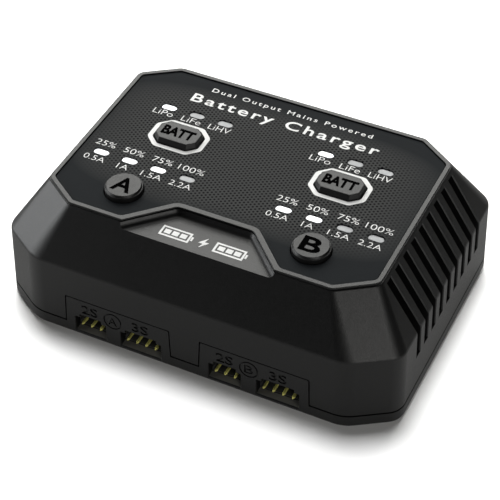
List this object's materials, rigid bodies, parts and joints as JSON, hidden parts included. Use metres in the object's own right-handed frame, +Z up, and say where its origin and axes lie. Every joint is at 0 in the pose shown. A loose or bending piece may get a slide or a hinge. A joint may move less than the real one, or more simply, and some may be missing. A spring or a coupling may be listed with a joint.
{
  "type": "balance battery charger",
  "caption": "Mains powered desktop balance charger with two channels: chamfered vented case, light windows, press buttons and front balance sockets.",
  "frame": {"origin": "centre of the bounding box's bottom face, on the surface that the feet stand on", "axes": "+X from channel A to channel B, -Y the front with the balance sockets, +Z up"},
  "size_m": [0.1042, 0.0738, 0.0367],
  "materials": {
    "case_black": "fine textured black ABS",
    "panel_overlay": "dark grey printed sheet with a fine pattern of dots",
    "button_grey": "satin grey, black legends",
    "light_pipe": "milky clear, lit from below",
    "foot_rubber": "matt",
    "screw_steel": "plain steel, nickel plated",
    "switch_metal": "black moulded",
    "pin_brass": "bright gold plated",
    "connector_black": "black nylon",
    "board_green": "green solder mask",
    "ferrite_core": "dull grey ferrite",
    "winding_tape": "yellow tape",
    "capacitor_sleeve": "dark blue sleeve on an aluminium can",
    "heat_sink_metal": "plain extrusion",
    "transistor_black": "moulded",
    "choke_copper": "enamelled copper wire",
    "fuse_body": "white ceramic"
  },
  "bodies": {
    "charger_body": {"balance_pin_a_2s_1": "pin_brass", "balance_pin_a_2s_2": "pin_brass", "balance_pin_a_2s_3": "pin_brass", "balance_pin_a_3s_1": "pin_brass", "balance_pin_a_3s_2": "pin_brass", "balance_pin_a_3s_3": "pin_brass", "balance_pin_a_3s_4": "pin_brass", "balance_pin_b_2s_1": "pin_brass", "balance_pin_b_2s_2": "pin_brass", "balance_pin_b_2s_3": "pin_brass", "balance_pin_b_3s_1": "pin_brass", "balance_pin_b_3s_2": "pin_brass", "balance_pin_b_3s_3": "pin_brass", "balance_pin_b_3s_4": "pin_brass", "balance_socket_a_2s": "connector_black", "balance_socket_a_3s": "connector_black", "balance_socket_b_2s": "connector_black", "balance_socket_b_3s": "connector_black", "batt_switch_a": "connector_black", "batt_switch_b": "connector_black", "board_link": "connector_black", "case_screw_1": "screw_steel", "case_screw_2": "screw_steel", "case_screw_3": "screw_steel", "case_screw_4": "screw_steel", "channel_switch_a": "connector_black", "channel_switch_b": "connector_black", "chemistry_light_pipe_a": "light_pipe", "chemistry_light_pipe_b": "light_pipe", "control_board": "board_green", "fuse": "fuse_body", "heat_sink": "heat_sink_metal", "inlet_body": "connector_black", "inlet_pin_left": "screw_steel", "inlet_pin_right": "screw_steel", "level_light_pipe_a": "light_pipe", "level_light_pipe_b": "light_pipe", "lower_case": "case_black", "main_board": "board_green", "mains_capacitor": "capacitor_sleeve", "mains_choke": "choke_copper", "output_capacitor": "capacitor_sleeve", "power_transistor": "transistor_black", "rubber_foot_1": "foot_rubber", "rubber_foot_2": "foot_rubber", "rubber_foot_3": "foot_rubber", "rubber_foot_4": "foot_rubber", "top_panel": "panel_overlay", "transformer_coil": "winding_tape", "transformer_core": "ferrite_core", "upper_case": "case_black"},
    "batt_key_a": {"batt_button_a": "button_grey", "batt_plunger_a": "switch_metal"},
    "batt_key_b": {"batt_button_b": "button_grey", "batt_plunger_b": "switch_metal"},
    "channel_key_a": {"channel_button_a": "button_grey", "channel_plunger_a": "switch_metal"},
    "channel_key_b": {"channel_button_b": "button_grey", "channel_plunger_b": "switch_metal"}
  },
  "joints": [
    {"name": "batt_press_a", "type": "slide", "parent": "charger_body", "child": "batt_key_a", "axis": [0, 0, -1], "range_m": [0, 0.0005], "stiffness_N_per_m": 400},
    {"name": "batt_press_b", "type": "slide", "parent": "charger_body", "child": "batt_key_b", "axis": [0, 0, -1], "range_m": [0, 0.0005], "stiffness_N_per_m": 400},
    {"name": "channel_press_a", "type": "slide", "parent": "charger_body", "child": "channel_key_a", "axis": [0, 0, -1], "range_m": [0, 0.0005], "stiffness_N_per_m": 400},
    {"name": "channel_press_b", "type": "slide", "parent": "charger_body", "child": "channel_key_b", "axis": [0, 0, -1], "range_m": [0, 0.0005], "stiffness_N_per_m": 400}
  ]
}
